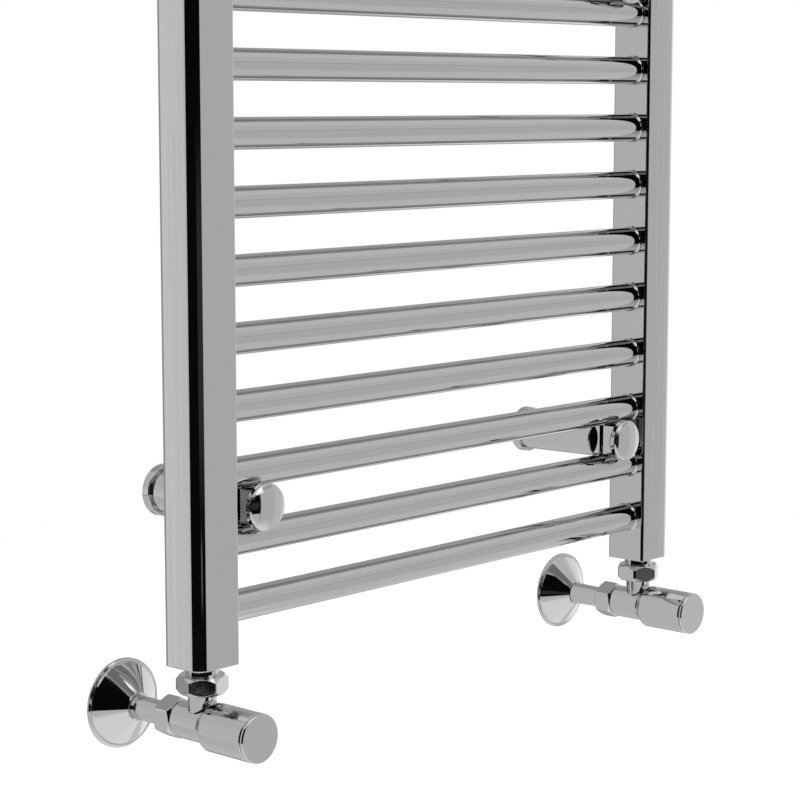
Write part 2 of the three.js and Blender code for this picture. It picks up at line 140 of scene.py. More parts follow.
def ramp(tree, value, start, end, low=0.0, high=1.0):
    node = tree.nodes.new("ShaderNodeMapRange")
    node.interpolation_type = "SMOOTHSTEP"
    tree.links.new(value, node.inputs["Value"])
    for socket, number in (("From Min", start), ("From Max", end), ("To Min", low), ("To Max", high)):
        node.inputs[socket].default_value = number
    return node.outputs[0]


def band(tree, value, low, high, edge):
    rise = ramp(tree, value, low - edge, low + edge)
    fall = ramp(tree, value, high - edge, high + edge, 1.0, 0.0)
    return mathNode(tree, "MULTIPLY", rise, fall)


def covered(tree, under, over, cover):
    # one glow laid over another where cover is 1
    keep = mathNode(tree, "SUBTRACT", 1.0, cover)
    added = mathNode(tree, "MULTIPLY", cover, over)
    return mathNode(tree, "MULTIPLY_ADD", keep, under, added)


def lightStudio(setup):
    world = bpy.data.worlds.new("softStudio")
    world.use_nodes = True
    bpy.context.scene.world = world
    tree = world.node_tree
    tree.nodes.clear()
    place = tree.nodes.new("ShaderNodeTexCoord")
    split = tree.nodes.new("ShaderNodeSeparateXYZ")
    tree.links.new(place.outputs["Generated"], split.inputs[0])
    x, y, z = split.outputs
    azimuth = mathNode(tree, "ARCTAN2", x, mathNode(tree, "MULTIPLY", y, -1.0))
    azimuth = mathNode(tree, "DEGREES", azimuth)
    elevation = mathNode(tree, "DEGREES", mathNode(tree, "ARCSINE", z))
    glow = setup["roomGlow"]
    for panel in setup["panels"]:
        cover = mathNode(
            tree, "MULTIPLY",
            band(tree, azimuth, *panel["turn"], panel["edge"]),
            band(tree, elevation, *panel["rise"], panel["edge"]),
        )
        glow = covered(tree, glow, panel["glow"], cover)
    rays = tree.nodes.new("ShaderNodeLightPath")
    seen = tree.nodes.new("ShaderNodeBackground")
    seen.inputs["Color"].default_value = (1, 1, 1, 1)
    room = tree.nodes.new("ShaderNodeBackground")
    room.inputs["Color"].default_value = (1, 1, 1, 1)
    tree.links.new(glow, room.inputs["Strength"])
    pick = tree.nodes.new("ShaderNodeMixShader")
    tree.links.new(rays.outputs["Is Camera Ray"], pick.inputs[0])
    tree.links.new(room.outputs[0], pick.inputs[1])
    tree.links.new(seen.outputs[0], pick.inputs[2])
    out = tree.nodes.new("ShaderNodeOutputWorld")
    tree.links.new(pick.outputs[0], out.inputs["Surface"])


def layFloor(setup):
    mesh = bpy.data.meshes.new("studioFloor")
    shape = bmesh.new()
    bmesh.ops.create_circle(shape, cap_ends=True, segments=96, radius=setup["floorRadius"] * mm)
    shape.to_mesh(mesh)
    shape.free()
    floor = bpy.data.objects.new("studioFloor", mesh)
    low, high = frameBox
    floor.location = (0, (low.y + high.y) / 2, low.z - setup["floorDrop"] * mm)
    bpy.context.scene.collection.objects.link(floor)
    material = bpy.data.materials.new("palePaper")
    material.use_nodes = True
    tree = material.node_tree
    paper = tree.nodes["Principled BSDF"]
    paper.inputs["Roughness"].default_value = 0.9
    paper.inputs["Specular IOR Level"].default_value = 0.1
    paper.inputs["Emission Color"].default_value = (1, 1, 1, 1)
    paper.inputs["Emission Strength"].default_value = setup["floorLift"]
    fibre = tree.nodes.new("ShaderNodeTexNoise")
    fibre.inputs["Scale"].default_value = setup["fibreScale"]
    tint = tree.nodes.new("ShaderNodeMapRange")
    tint.inputs["To Min"].default_value = setup["floorFleck"] * setup["floorColor"]
    tint.inputs["To Max"].default_value = setup["floorColor"]
    tree.links.new(fibre.outputs["Fac"], tint.inputs["Value"])
    tree.links.new(tint.outputs[0], paper.inputs["Base Color"])
    mesh.materials.append(material)
    floor.visible_glossy = False  # the chrome mirrors the soft panels instead


lightStudio(studio)
layFloor(studio)
bpy.context.scene.view_settings.view_transform = "Standard"
bpy.context.scene.view_settings.look = "None"
print("studio lit")


# finishes
plating = {
    "chromeTube": {"color": 0.555, "gloss": (0.025, 0.05), "grain": (9, 240, 240), "wave": 0.010},
    "chromePost": {"color": 0.555, "gloss": (0.025, 0.05), "grain": (200, 200, 5), "wave": 0.012},
    "chromeFitting": {"color": 0.57, "gloss": (0.03, 0.07), "grain": (60, 60, 60), "wave": 0.02},
}
turnedMetal = {
    "sawnBrass": {"color": (0.62, 0.44, 0.19), "gloss": (0.22, 0.38), "lines": 900},
    "nickelStem": {"color": (0.60, 0.58, 0.53), "gloss": (0.14, 0.26), "lines": 1200},
    "drawnSteel": {"color": (0.42, 0.42, 0.43), "gloss": (0.28, 0.42), "lines": 300},
}
sealRubber = {"color": (0.012, 0.012, 0.012), "gloss": (0.55, 0.8)}


def newMaterial(name):
    material = bpy.data.materials.new(name)
    material.use_nodes = True
    tree = material.node_tree
    return material, tree, tree.nodes["Principled BSDF"]


def stretchedNoise(tree, stretch, scale, detail=3.0):
    place = tree.nodes.new("ShaderNodeTexCoord")
    mapping = tree.nodes.new("ShaderNodeMapping")
    mapping.inputs["Scale"].default_value = stretch
    noise = tree.nodes.new("ShaderNodeTexNoise")
    noise.inputs["Scale"].default_value = scale
    noise.inputs["Detail"].default_value = detail
    tree.links.new(place.outputs["Object"], mapping.inputs["Vector"])
    tree.links.new(mapping.outputs[0], noise.inputs["Vector"])
    return noise.outputs["Fac"]


def bumpFrom(tree, shader, height, strength, distance):
    bump = tree.nodes.new("ShaderNodeBump")
    bump.inputs["Strength"].default_value = strength
    bump.inputs["Distance"].default_value = distance
    tree.links.new(height, bump.inputs["Height"])
    tree.links.new(bump.outputs[0], shader.inputs["Normal"])


def greyMix(tree, fac, dark, light):
    mix = tree.nodes.new("ShaderNodeMix")
    mix.data_type = "RGBA"
    mix.inputs["A"].default_value = (*dark, 1)
    mix.inputs["B"].default_value = (*light, 1)
    tree.links.new(fac, mix.inputs["Factor"])
    return mix.outputs["Result"]


def platedChrome(name, finish):
    material, tree, shader = newMaterial(name)
    shader.inputs["Metallic"].default_value = 1.0
    streaks = stretchedNoise(tree, finish["grain"], 1.0)
    haze = stretchedNoise(tree, (1, 1, 1), 38.0, 5.0)
    low, high = finish["gloss"]
    rough = ramp(tree, haze, 0.3, 0.75, low, high)
    tree.links.new(rough, shader.inputs["Roughness"])
    tone = finish["color"]
    dull, bright = [tone * 0.985] * 3, [tone, tone * 1.003, tone * 1.006]
    color = greyMix(tree, haze, dull, bright)
    tree.links.new(color, shader.inputs["Base Color"])
    bumpFrom(tree, shader, streaks, finish["wave"], 0.002)
    return material


def lathedMetal(name, finish):
    material, tree, shader = newMaterial(name)
    shader.inputs["Metallic"].default_value = 1.0
    lines = stretchedNoise(tree, (2, finish["lines"], 2), 1.0, 2.0)
    haze = stretchedNoise(tree, (1, 1, 1), 120.0, 4.0)
    low, high = finish["gloss"]
    tree.links.new(ramp(tree, haze, 0.3, 0.7, low, high), shader.inputs["Roughness"])
    light = finish["color"]
    color = greyMix(tree, lines, [c * 0.86 for c in light], light)
    tree.links.new(color, shader.inputs["Base Color"])
    bumpFrom(tree, shader, lines, 0.15, 0.0002)
    return material


def blackRubber(name, finish):
    material, tree, shader = newMaterial(name)
    haze = stretchedNoise(tree, (1, 1, 1), 300.0, 4.0)
    low, high = finish["gloss"]
    tree.links.new(ramp(tree, haze, 0.3, 0.7, low, high), shader.inputs["Roughness"])
    light = finish["color"]
    tree.links.new(greyMix(tree, haze, light, [c * 1.8 for c in light]), shader.inputs["Base Color"])
    bumpFrom(tree, shader, haze, 0.2, 0.0003)
    return material


materials = {name: platedChrome(name, finish) for name, finish in plating.items()}
materials.update({name: lathedMetal(name, finish) for name, finish in turnedMetal.items()})
materials["sealRubber"] = blackRubber("sealRubber", sealRubber)
print("finishes mixed:", len(materials))


# shape tools: every piece is a skin over rings of points
def softened(outline, closed, steps=5):
    # replaces each corner that has a rounding by an arc, with a support point on each side
    points = []
    count = len(outline)
    for i, corner in enumerate(outline):
        spot = Vector(corner[:2])
        rounding = corner[2] if len(corner) > 2 else 0
        atEnd = not closed and i in (0, count - 1)
        if rounding <= 0 or atEnd:
            points.append(tuple(spot))
            continue
        toward = [Vector(outline[(i + k) % count][:2]) - spot for k in (-1, 1)]
        lengths = [way.length for way in toward]
        toward = [way.normalized() for way in toward]
        half = toward[0].angle(toward[1]) / 2
        reach = min(rounding / math.tan(half), 0.46 * min(lengths))
        radius = reach * math.tan(half)
        middle = spot + (toward[0] + toward[1]).normalized() * radius / math.sin(half)
        spokes = [spot + way * reach - middle for way in toward]
        swing = spokes[0].angle(spokes[1])
        extra = [min(0.25, 0.3 * (length / 2 - reach)) for length in lengths]
        points.append(tuple(spot + toward[0] * (reach + extra[0])))
        for k in range(steps + 1):
            share = k / steps
            spoke = (
                spokes[0] * math.sin((1 - share) * swing) + spokes[1] * math.sin(share * swing)
            ) / math.sin(swing)
            points.append(tuple(middle + spoke))
        points.append(tuple(spot + toward[1] * (reach + extra[1])))
    return points


def squareOutline(half, rounding):
    corners = ((-half, -half), (half, -half), (half, half), (-half, half))
    return softened([(*corner, rounding) for corner in corners], True, 3)


def turnedRings(outline, axis, sides, closed=False, steps=5):
    rings = []
    for radius, along in softened(outline, closed, steps):
        ring = []
        for k in range(sides if radius > 1e-6 else 1):
            angle = 2 * math.pi * k / sides
            across, up = radius * math.cos(angle), radius * math.sin(angle)
            ring.append({
                "x": (along, across, up), "y": (across, -along, up), "z": (across, up, along),
            }[axis])
        rings.append(ring)
    return rings


def skinOver(shape, rings, closed=False, offset=(0, 0, 0)):
    # adds the skin to a bmesh; a ring of one point closes to a tip, an open end gets a flat cap
    made = []
    for ring in rings:
        made.append([
            shape.verts.new([(value + shift) * mm for value, shift in zip(point, offset)])
            for point in ring
        ])
    pairs = list(zip(made, made[1:]))
    if closed:
        pairs.append((made[-1], made[0]))
    for first, second in pairs:
        count = max(len(first), len(second))
        for k in range(count):
            following = (k + 1) % count
            if len(first) == 1:
                shape.faces.new((first[0], second[following], second[k]))
            elif len(second) == 1:
                shape.faces.new((first[k], first[following], second[0]))
            else:
                shape.faces.new((first[k], first[following], second[following], second[k]))
    if not closed:
        for ring in (made[0], made[-1]):
            if len(ring) > 1:
                shape.faces.new(ring)
    return shape


def finishShape(shape, name, sharpness=38):
    bmesh.ops.recalc_face_normals(shape, faces=shape.faces)
    mesh = bpy.data.meshes.new(name)
    shape.to_mesh(mesh)
    shape.free()
    mesh.shade_smooth()
    mesh.set_sharp_from_angle(angle=math.radians(sharpness))
    return mesh


def turnedMesh(name, outline, axis="y", sides=96, closed=False, at=(0, 0, 0)):
    return finishShape(
        skinOver(bmesh.new(), turnedRings(outline, axis, sides, closed), closed, at), name
    )


def addPiece(node, mesh, finish, bevel=0):
    piece = bpy.data.objects.new(node + "_look", mesh)
    bpy.context.scene.collection.objects.link(piece)
    mesh.materials.clear()
    mesh.materials.append(materials[finish])
    if bevel:
        edges = piece.modifiers.new("edgeBreak", "BEVEL")
        edges.width = bevel * mm
        edges.segments = 3
        edges.limit_method = "ANGLE"
        edges.angle_limit = math.radians(28)
        flat = piece.modifiers.new("flatFaces", "WEIGHTED_NORMAL")
        flat.keep_sharp = True
    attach(piece, bodyOfNode[node])
    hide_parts(node)
    return piece


def combined(meshes, operations, name):
    # joins or cuts the first mesh by the others, in order
    base = bpy.data.objects.new(name, meshes[0])
    bpy.context.scene.collection.objects.link(base)
    tools = []
    for mesh, operation in zip(meshes[1:], operations):
        tool = bpy.data.objects.new(name + "Tool", mesh)
        bpy.context.scene.collection.objects.link(tool)
        fit = base.modifiers.new("fit", "BOOLEAN")
        fit.operation = operation
        fit.solver = "EXACT"
        fit.object = tool
        tools.append(tool)
    bpy.context.view_layer.update()
    graph = bpy.context.evaluated_depsgraph_get()
    result = bpy.data.meshes.new_from_object(base.evaluated_get(graph))
    result.name = name
    for leftover in [base, *tools]:
        bpy.data.objects.remove(leftover)
    shape = bmesh.new()
    shape.from_mesh(result)
    bmesh.ops.remove_doubles(shape, verts=shape.verts, dist=0.01 * mm)
    bmesh.ops.dissolve_degenerate(shape, edges=shape.edges, dist=0.005 * mm)
    return finishShape(shape, name)


def boxOf(node):
    low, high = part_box(node)
    return low / mm, high / mm


def depthOf(node):
    low, high = boxOf(node)
    return high.y - low.y


def centreOf(node):
    low, high = boxOf(node)
    return (low + high) / 2


def backCentre(node):
    # middle of the face nearest the wall
    low, high = boxOf(node)
    return ((low.x + high.x) / 2, high.y, (low.z + high.z) / 2)


def footCentre(node):
    low, high = boxOf(node)
    return ((low.x + high.x) / 2, (low.y + high.y) / 2, low.z)


# collectors
collectorSizes = {
    "wall": 2.0,
    "innerCorner": 2.0,  # towards the bars
    "rearCorner": 4.0,  # outside, towards the wall
    "frontCorner": 8.0,
    "rim": 0.5,
    "capThickness": 3.0,
    "portRadius": 10.7,
    "portChamfer": 0.8,
    "bossRadius": 14.0,
    "bossDepth": 12.0,
}


def sectionLoop(halfWidth, halfDepth, outward, inset, arcSteps=12):
    # outline of the D section, shrunk by the inset; outward is 1 for the right collector
    smallest = 0.15
    inner, rear, front = [
        max(collectorSizes[corner] - inset, smallest)
        for corner in ("innerCorner", "rearCorner", "frontCorner")
    ]
    halfWidth, halfDepth = halfWidth - inset, halfDepth - inset
    corners = (
        (halfWidth - front, -halfDepth + front, front, -90),
        (halfWidth - rear, halfDepth - rear, rear, 0),
        (-halfWidth + inner, halfDepth - inner, inner, 90),
        (-halfWidth + inner, -halfDepth + inner, inner, 180),
    )
    loop = []
    support = 0.3
    for x, y, radius, start in corners:
        for k in range(-1, arcSteps + 2):
            turn = math.radians(start + 90 * min(max(k / arcSteps, 0), 1))
            px, py = x + radius * math.cos(turn), y + radius * math.sin(turn)
            if k == -1:
                px, py = px + support * math.sin(turn), py - support * math.cos(turn)
            elif k == arcSteps + 1:
                px, py = px - support * math.sin(turn), py + support * math.cos(turn)
            loop.append((outward * px, py))
    return loop


def collectorRings(node, outward, profile):
    low, high = boxOf(node)
    rings = []
    for inset, z in profile:
        loop = sectionLoop((high.x - low.x) / 2, (high.y - low.y) / 2, outward, inset)
        rings.append([(x, y, z) for x, y in loop])
    return rings


def makeCollector(node, outward):
    low, high = boxOf(node)
    wall, rim = collectorSizes["wall"], collectorSizes["rim"]
    lower, upper = low.z, high.z
    curve = [math.radians(90 * k / 4) for k in range(5)]
    profile = [(wall, lower), (rim, lower)]
    profile += [(rim - rim * math.sin(a), lower + rim - rim * math.cos(a)) for a in curve]
    profile += [(0, lower + 2 * rim), (0, upper - 2 * rim)]
    profile += [(rim - rim * math.cos(a), upper - rim + rim * math.sin(a)) for a in curve]
    profile += [(wall, upper)]
    rings = collectorRings(node, outward, profile)
    middle = centreOf(node)
    mesh = finishShape(skinOver(bmesh.new(), rings, True, (middle.x, middle.y, 0)), node)
    addPiece(node, mesh, "chromePost")


def makeEndPlate(node, collectorNode, outward, side):
    # plate welded in the tube's end, with the port's boss inside; side is 1 at the top
    low, high = boxOf(collectorNode)
    sizes = collectorSizes
    end = high.z if side > 0 else low.z
    inset = sizes["wall"] + 0.05
    soft = 0.4
    profile = [
        (inset, end - side * sizes["capThickness"]), (inset, end - side * soft), (inset + soft, end),
    ]
    rings = collectorRings(collectorNode, outward, profile)
    middle = centreOf(collectorNode)
    plate = finishShape(skinOver(bmesh.new(), rings, False, (middle.x, middle.y, 0)), node)
    at = (middle.x, middle.y, end)
    boss = turnedMesh(node + "Boss", [
        (0, -side * 1.5), (sizes["bossRadius"], -side * 1.5),
        (sizes["bossRadius"], -side * sizes["bossDepth"], 0.6), (0, -side * sizes["bossDepth"]),
    ], "z", 64, at=at)
    port = turnedMesh(node + "Port", [
        (0, side * 2), (sizes["portRadius"] + sizes["portChamfer"] + 2, side * 2),
        (sizes["portRadius"], -side * sizes["portChamfer"]),
        (sizes["portRadius"], -side * (sizes["bossDepth"] + 2)), (0, -side * (sizes["bossDepth"] + 2)),
    ], "z", 64, at=at)
    addPiece(node, combined([plate, boss, port], ["UNION", "DIFFERENCE"], node), "chromePost")


for sideName, outward in (("left", -1), ("right", 1)):
    collector = "collector_" + sideName
    makeCollector(collector, outward)
    makeEndPlate(collector + "_bottom_cap", collector, outward, -1)
    makeEndPlate(collector + "_top_cap", collector, outward, 1)
print("collectors made")


# bars, each with its brazed bead against both collectors
barSizes = {
    "wall": 1.5,
    "beadReach": 1.9,  # along the bar
    "beadHeight": 1.7,
    "beadSwell": 0.132,
    "beadSteps": 7,
    "sides": 96,
}


def makeBar(node, number):
    low, high = boxOf(node)
    sizes = barSizes
    radius = (high.z - low.z) / 2
    half = (high.x - low.x) / 2
    face = boxOf("collector_right")[0].x  # the collector's side towards the bars
    bore = radius - sizes["wall"]
    steps = sizes["beadSteps"]
    bead = []
    for k in range(steps + 1):
        turn = math.radians(90 * k / steps)
        bead.append((
            radius + sizes["beadHeight"] * (1 - math.cos(turn)),
            face - sizes["beadReach"] * (1 - math.sin(turn)),
        ))
    outline = [(bore, half), (radius, half), (radius, face + 0.2)]
    outline += [(bead[-1][0], face + 0.05)] + bead[::-1] + [(radius, face - sizes["beadReach"] - 0.4)]
    outline += [(r, -x) for r, x in reversed(outline)]
    rings = turnedRings(outline, "x", sizes["sides"], True)
    # the beads are a little lumpy, each in its own way
    for ring in rings:
        for k, (x, y, z) in enumerate(ring):
            away = math.hypot(y, z) - radius
            if away > 0.02:
                angle = math.atan2(z, y)
                lump = math.sin(3 * angle + number * 1.7 + (1 if x > 0 else 4))
                lump += 0.6 * math.sin(7 * angle + number * 2.9)
                grow = 1 + sizes["beadSwell"] * lump * away / (sizes["beadHeight"] * radius)
                ring[k] = (x, y * grow, z * grow)
    middle = centreOf(node)
    mesh = finishShape(skinOver(bmesh.new(), rings, True, tuple(middle)), node)
    addPiece(node, mesh, "chromeTube")


barNodes = sorted(node for node in frame["nodes"] if node.startswith("bar_"))
for number, node in enumerate(barNodes):
    makeBar(node, number)
print("bars made:", len(barNodes))


# wall brackets: rosette, stem and clamp round the crossing of two bars
bracketSizes = {
    "rosetteRadius": 18.6,
    "rosetteDepth": 6.8,
    "rosetteLip": 1.7,
    "rosetteFloor": 6.2,
    "stemBack": 16.0,
    "stemFront": 15.4,
    "screwHole": 3.2,
    "tongueLength": 6.5,
    "tongueHalfWidth": 9.0,
    "tongueHalfHeight": 12.0,
    "saddleRoom": 0.25,  # round the gripped bars
    "capRadius": 16.7,
    "capDepth": 10.0,
    "capShoulder": 7.5,
    "capEdge": 1.6,
    "domeRise": 2.5,
    "domeSteps": 9,
}


def rosetteMesh(at):
    sizes = bracketSizes
    mouth = sizes["rosetteRadius"] - sizes["rosetteLip"]
    return turnedMesh("rosette", [
        (sizes["screwHole"], 0), (sizes["rosetteRadius"], 0, 0.3),
        (sizes["rosetteRadius"], sizes["rosetteDepth"], 0.8), (mouth, sizes["rosetteDepth"], 0.6),
        (mouth, sizes["rosetteFloor"], 0.2), (sizes["screwHole"], sizes["rosetteFloor"], 0.2),
    ], "y", 128, True, at)


def loafRings(profile, halfWidth, rounding=0.5):
    # prism along x over a loop of (y, z) points, with softened ends
    rings = []
    for x, inset in (
        (-halfWidth, rounding), (-halfWidth + rounding * 0.3, rounding * 0.3), (-halfWidth + rounding, 0),
        (halfWidth - rounding, 0), (halfWidth - rounding * 0.3, rounding * 0.3), (halfWidth, rounding),
    ):
        ys, zs = [p[0] for p in profile], [p[1] for p in profile]
        midY, midZ = (min(ys) + max(ys)) / 2, (min(zs) + max(zs)) / 2
        scaleY = 1 - inset / ((max(ys) - min(ys)) / 2)
        scaleZ = 1 - inset / ((max(zs) - min(zs)) / 2)
        rings.append([(x, midY + (y - midY) * scaleY, midZ + (z - midZ) * scaleZ) for y, z in profile])
    return rings


def barPair(at, spread):
    # the two gripped bars, a hair oversize, to cut the saddles
    shape = bmesh.new()
    radius = (boxOf("bar_01")[1].z - boxOf("bar_01")[0].z) / 2 + bracketSizes["saddleRoom"]
    for side in (-1, 1):
        rings = turnedRings([(0, -30), (radius, -30), (radius, 30), (0, 30)], "x", 96)
        skinOver(shape, rings, False, (at[0], at[1], at[2] + side * spread / 2))
    return finishShape(shape, "barPair")


def blockMesh(name, back, front, at):
    sizes = bracketSizes
    tall = sizes["tongueHalfHeight"]
    profile = softened([
        (-back, -tall, 0.8), (-front, -tall, 0.8), (-front, tall, 0.8), (-back, tall, 0.8),
    ], True, 4)
    return finishShape(
        skinOver(bmesh.new(), loafRings(profile, sizes["tongueHalfWidth"]), False, at), name
    )


def makeBracket(prefix):
    sizes = bracketSizes
    stemNode, clampNode = prefix + "_stem", prefix + "_clamp"
    centre = centreOf(stemNode)
    stemLow, stemHigh = boxOf(stemNode)
    clampLow, clampHigh = boxOf(clampNode)
    bars = boxOf("bar_01")
    barDepth = -(bars[0].y + bars[1].y) / 2
    spread = centreOf("bar_02").z - centreOf("bar_01").z
    at = (centre.x, 0, centre.z)
    addPiece(prefix + "_rosette", rosetteMesh(at), "chromeFitting")

    back, tip = -stemHigh.y, -stemLow.y
    shoulder = tip - sizes["tongueLength"]
    column = turnedMesh("column", [
        (0, back), (sizes["stemBack"], back, 0.3), (sizes["stemFront"], shoulder, 0.9), (0, shoulder),
    ], "y", 128, at=at)
    tongue = blockMesh("tongue", shoulder - 2, tip, at)
    bores = barPair((centre.x, -barDepth, centre.z), spread)
    stem = combined([column, tongue, bores], ["UNION", "DIFFERENCE"], stemNode)
    addPiece(stemNode, stem, "chromeFitting", 0.2)

    clampBack, domeTip = -clampHigh.y, -clampLow.y
    rim = domeTip - sizes["domeRise"]
    dome = [
        (sizes["capRadius"] - 2.5, domeTip - sizes["capDepth"]),
        (sizes["capRadius"], domeTip - sizes["capShoulder"], 1.2),
        (sizes["capRadius"], rim, sizes["capEdge"]),
    ]
    curve = sizes["domeSteps"]
    bend = (sizes["capRadius"] ** 2 + sizes["domeRise"] ** 2) / (2 * sizes["domeRise"])
    for k in range(1, curve):
        radius = (sizes["capRadius"] - 1.0) * (1 - k / curve)
        dome.append((radius, domeTip - bend + math.sqrt(bend ** 2 - radius ** 2)))
    cap = turnedMesh("cap", [(0, domeTip - sizes["capDepth"]), *dome, (0, domeTip)], "y", 128, at=at)
    block = blockMesh("block", clampBack, domeTip - sizes["capDepth"] + 1.5, at)
    bores = barPair((centre.x, -barDepth, centre.z), spread)
    clamp = combined([block, cap, bores], ["UNION", "DIFFERENCE"], clampNode)
    addPiece(clampNode, clamp, "chromeFitting", 0.2)


bracketNames = sorted(
    node.removesuffix("_stem") for node in frame["nodes"]
    if node.startswith("bracket_") and node.endswith("_stem")
)
for name in bracketNames:
    makeBracket(name)
print("brackets made:", len(bracketNames))


# valves
coverSizes = {"rimRadius": 32.0, "tipRadius": 9.8, "flange": 1.8, "lip": 2.0, "wall": 1.1}
sleeveSizes = {"back": 9.3, "front": 8.2, "bore": 7.8}
pipeSizes = {"wall": 1.0}
oliveSizes = {"wall": 2.0, "crown": 2.4}
unionNutSizes = {
    "flats": 31.8, "corner": 2.6, "chamfer": 3.0, "face": 15.2,
    "thread": 13.5, "mouth": 11.8, "lip": 1.6,
    "turn": {"left": -13.2, "right": -3.6},
}
pipeNutSizes = {
    "flats": 25.98, "corner": 0.7, "chamfer": 1.8, "face": 12.55,
    "thread": 11.3, "mouth": 7.8, "lip": 2.2,
}
bodySizes = {
    "threadRadius": 11.0, "radius": 13.0, "branchRadius": 9.7, "branchFlare": 0.4,
    "collarRadius": 13.1, "fillet": 2.6,
    "branchTop": 22.8, "collarLow": 23.8, "collarTop": 30.0, "throat": 9.2, "waterway": 5.2, "rise": 6.0,
    "socketMouth": 10.9, "socket": 7.8, "foot": 3.0, "footDraw": 0.7, "sink": 0.15,
    # how far behind the neck's middle each one ends
    "barrelBack": 20.0, "socketEnd": 14.0, "seatBack": 6.5,
}
bonnetSizes = {
    "shank": 8.9, "flange": 11.0, "neck": 6.5, "bore": 4.3, "chamber": 6.2, "chamberDepth": 6.0,
    "flangeToFront": 11.5, "flangeDepth": 4.5,
}
plugSizes = {"face": 7.0, "faceDepth": 4.6, "stem": 5.6, "bore": 4.3, "boreDepth": 8.4}
spindleSizes = {"radius": 4.0, "clip": 6.0, "clipDepth": 1.2, "squareHalf": 2.75}
tailSizes = {"flange": 13.0, "neck": 11.4, "thread": 10.4, "bore": 7.0, "flangeDepth": 2.3}
headSizes = {
    "foot": 13.2, "radius": 17.0, "taper": 5.4, "bore": 14.5, "frontEdge": 0.7,
    "discEdge": 1.1, "discStep": 3.0, "discBevel": 2.1, "sides": 160,
    "hub": 8.0, "hubBore": 4.3, "hubDepth": 17.0, "webDepth": 3.0, "ribBore": 11.4, "ribDepth": 2.6,
}


def hexRings(sizes, bottom, top, axis, turn=0.0):
    # hexagon with rounded corners and a turned chamfer at both ends, hollow for its thread;
    # the narrow mouth is at the top, which may lie below the bottom on an axis that runs forward
    flat = sizes["flats"] / 2
    corner = sizes["corner"]
    inner = (flat - corner) / math.cos(math.radians(30))
    tangent = math.degrees(math.atan((flat - corner) * math.tan(math.radians(30)) / flat))
    angles = []
    for side in range(6):
        start = side * 60 + turn
        angles += [(start + tangent * k / 10, tangent * abs(k) / 10, False) for k in range(-10, 11)]
        angles += [
            (start + 30 + (30 - tangent) * k / 3, (30 - tangent) * abs(k) / 3, True) for k in range(-2, 3)
        ]
    slope = sizes["chamfer"] / (inner + corner - sizes["face"])
    inward = 1 if top > bottom else -1
    columns = []
    for degree, offset, rounded in angles:
        spread = math.radians(offset)
        if rounded:
            radius = inner * math.cos(spread) + math.sqrt(corner ** 2 - (inner * math.sin(spread)) ** 2)
        else:
            radius = flat / math.cos(spread)
        drop = max(0.12, (radius - sizes["face"]) * slope) * inward
        rim, lip = top - 0.5 * inward, top - sizes["lip"] * inward
        columns.append((math.radians(degree), [
            (sizes["thread"], bottom), (sizes["face"], bottom), (radius, bottom + drop),
            (radius, top - drop), (sizes["face"], top), (sizes["mouth"] + 0.5, top),
            (sizes["mouth"], rim), (sizes["mouth"], lip), (sizes["thread"], lip),
        ]))
    rings = []
    for k in range(len(columns[0][1])):
        ring = []
        for angle, column in columns:
            radius, along = column[k]
            across, up = radius * math.cos(angle), radius * math.sin(angle)
            ring.append((across, up, along) if axis == "z" else (across, -along, up))
        rings.append(ring)
    return rings


def hexMesh(name, sizes, bottom, top, axis, at, turn=0.0):
    return finishShape(
        skinOver(bmesh.new(), hexRings(sizes, bottom, top, axis, turn), True, at), name, 24
    )


def makeWallCover(node):
    sizes = coverSizes
    depth = depthOf(node)
    rim, tip, lip = sizes["rimRadius"], sizes["tipRadius"], sizes["lip"]
    wall = sizes["wall"]
    mesh = turnedMesh(node, [
        (rim - 1.2, 0.0), (rim, 0.0, 0.3), (rim, sizes["flange"], 0.25),
        (rim - lip, sizes["flange"] + 0.5, 0.5),
        (rim - lip - 0.5, sizes["flange"] + 0.2, 0.3), (rim - lip - 1.1, sizes["flange"] + 1.3, 0.4),
        (tip + 0.4, depth - 0.5, 0.5), (tip, depth, 0.25), (tip - 0.6, depth, 0.2),
        (tip - 0.6, depth - wall, 0.1), (rim - 3.6, 1.3, 0.2),
    ], "y", 160, True, backCentre(node))
    addPiece(node, mesh, "chromeFitting")


def makeTube(node, bore, back, front, finish, edge=0.25):
    depth = depthOf(node)
    mesh = turnedMesh(node, [
        (bore, 0, 0.1), (back, 0, edge), (front, depth, edge), (bore, depth, 0.1),
    ], "y", 96, True, backCentre(node))
    addPiece(node, mesh, finish)


def makeOlive(node):
    low, high = boxOf(node)
    depth, radius = high.y - low.y, (high.x - low.x) / 2
    bore = radius - oliveSizes["wall"]
    mesh = turnedMesh(node, [
        (bore, 0, 0.1), (bore + 0.7, 0, 0.2), (radius, oliveSizes["crown"], 0.5),
        (bore + 0.5, depth, 0.2), (bore, depth, 0.1),
    ], "y", 64, True, backCentre(node))
    addPiece(node, mesh, "sawnBrass")


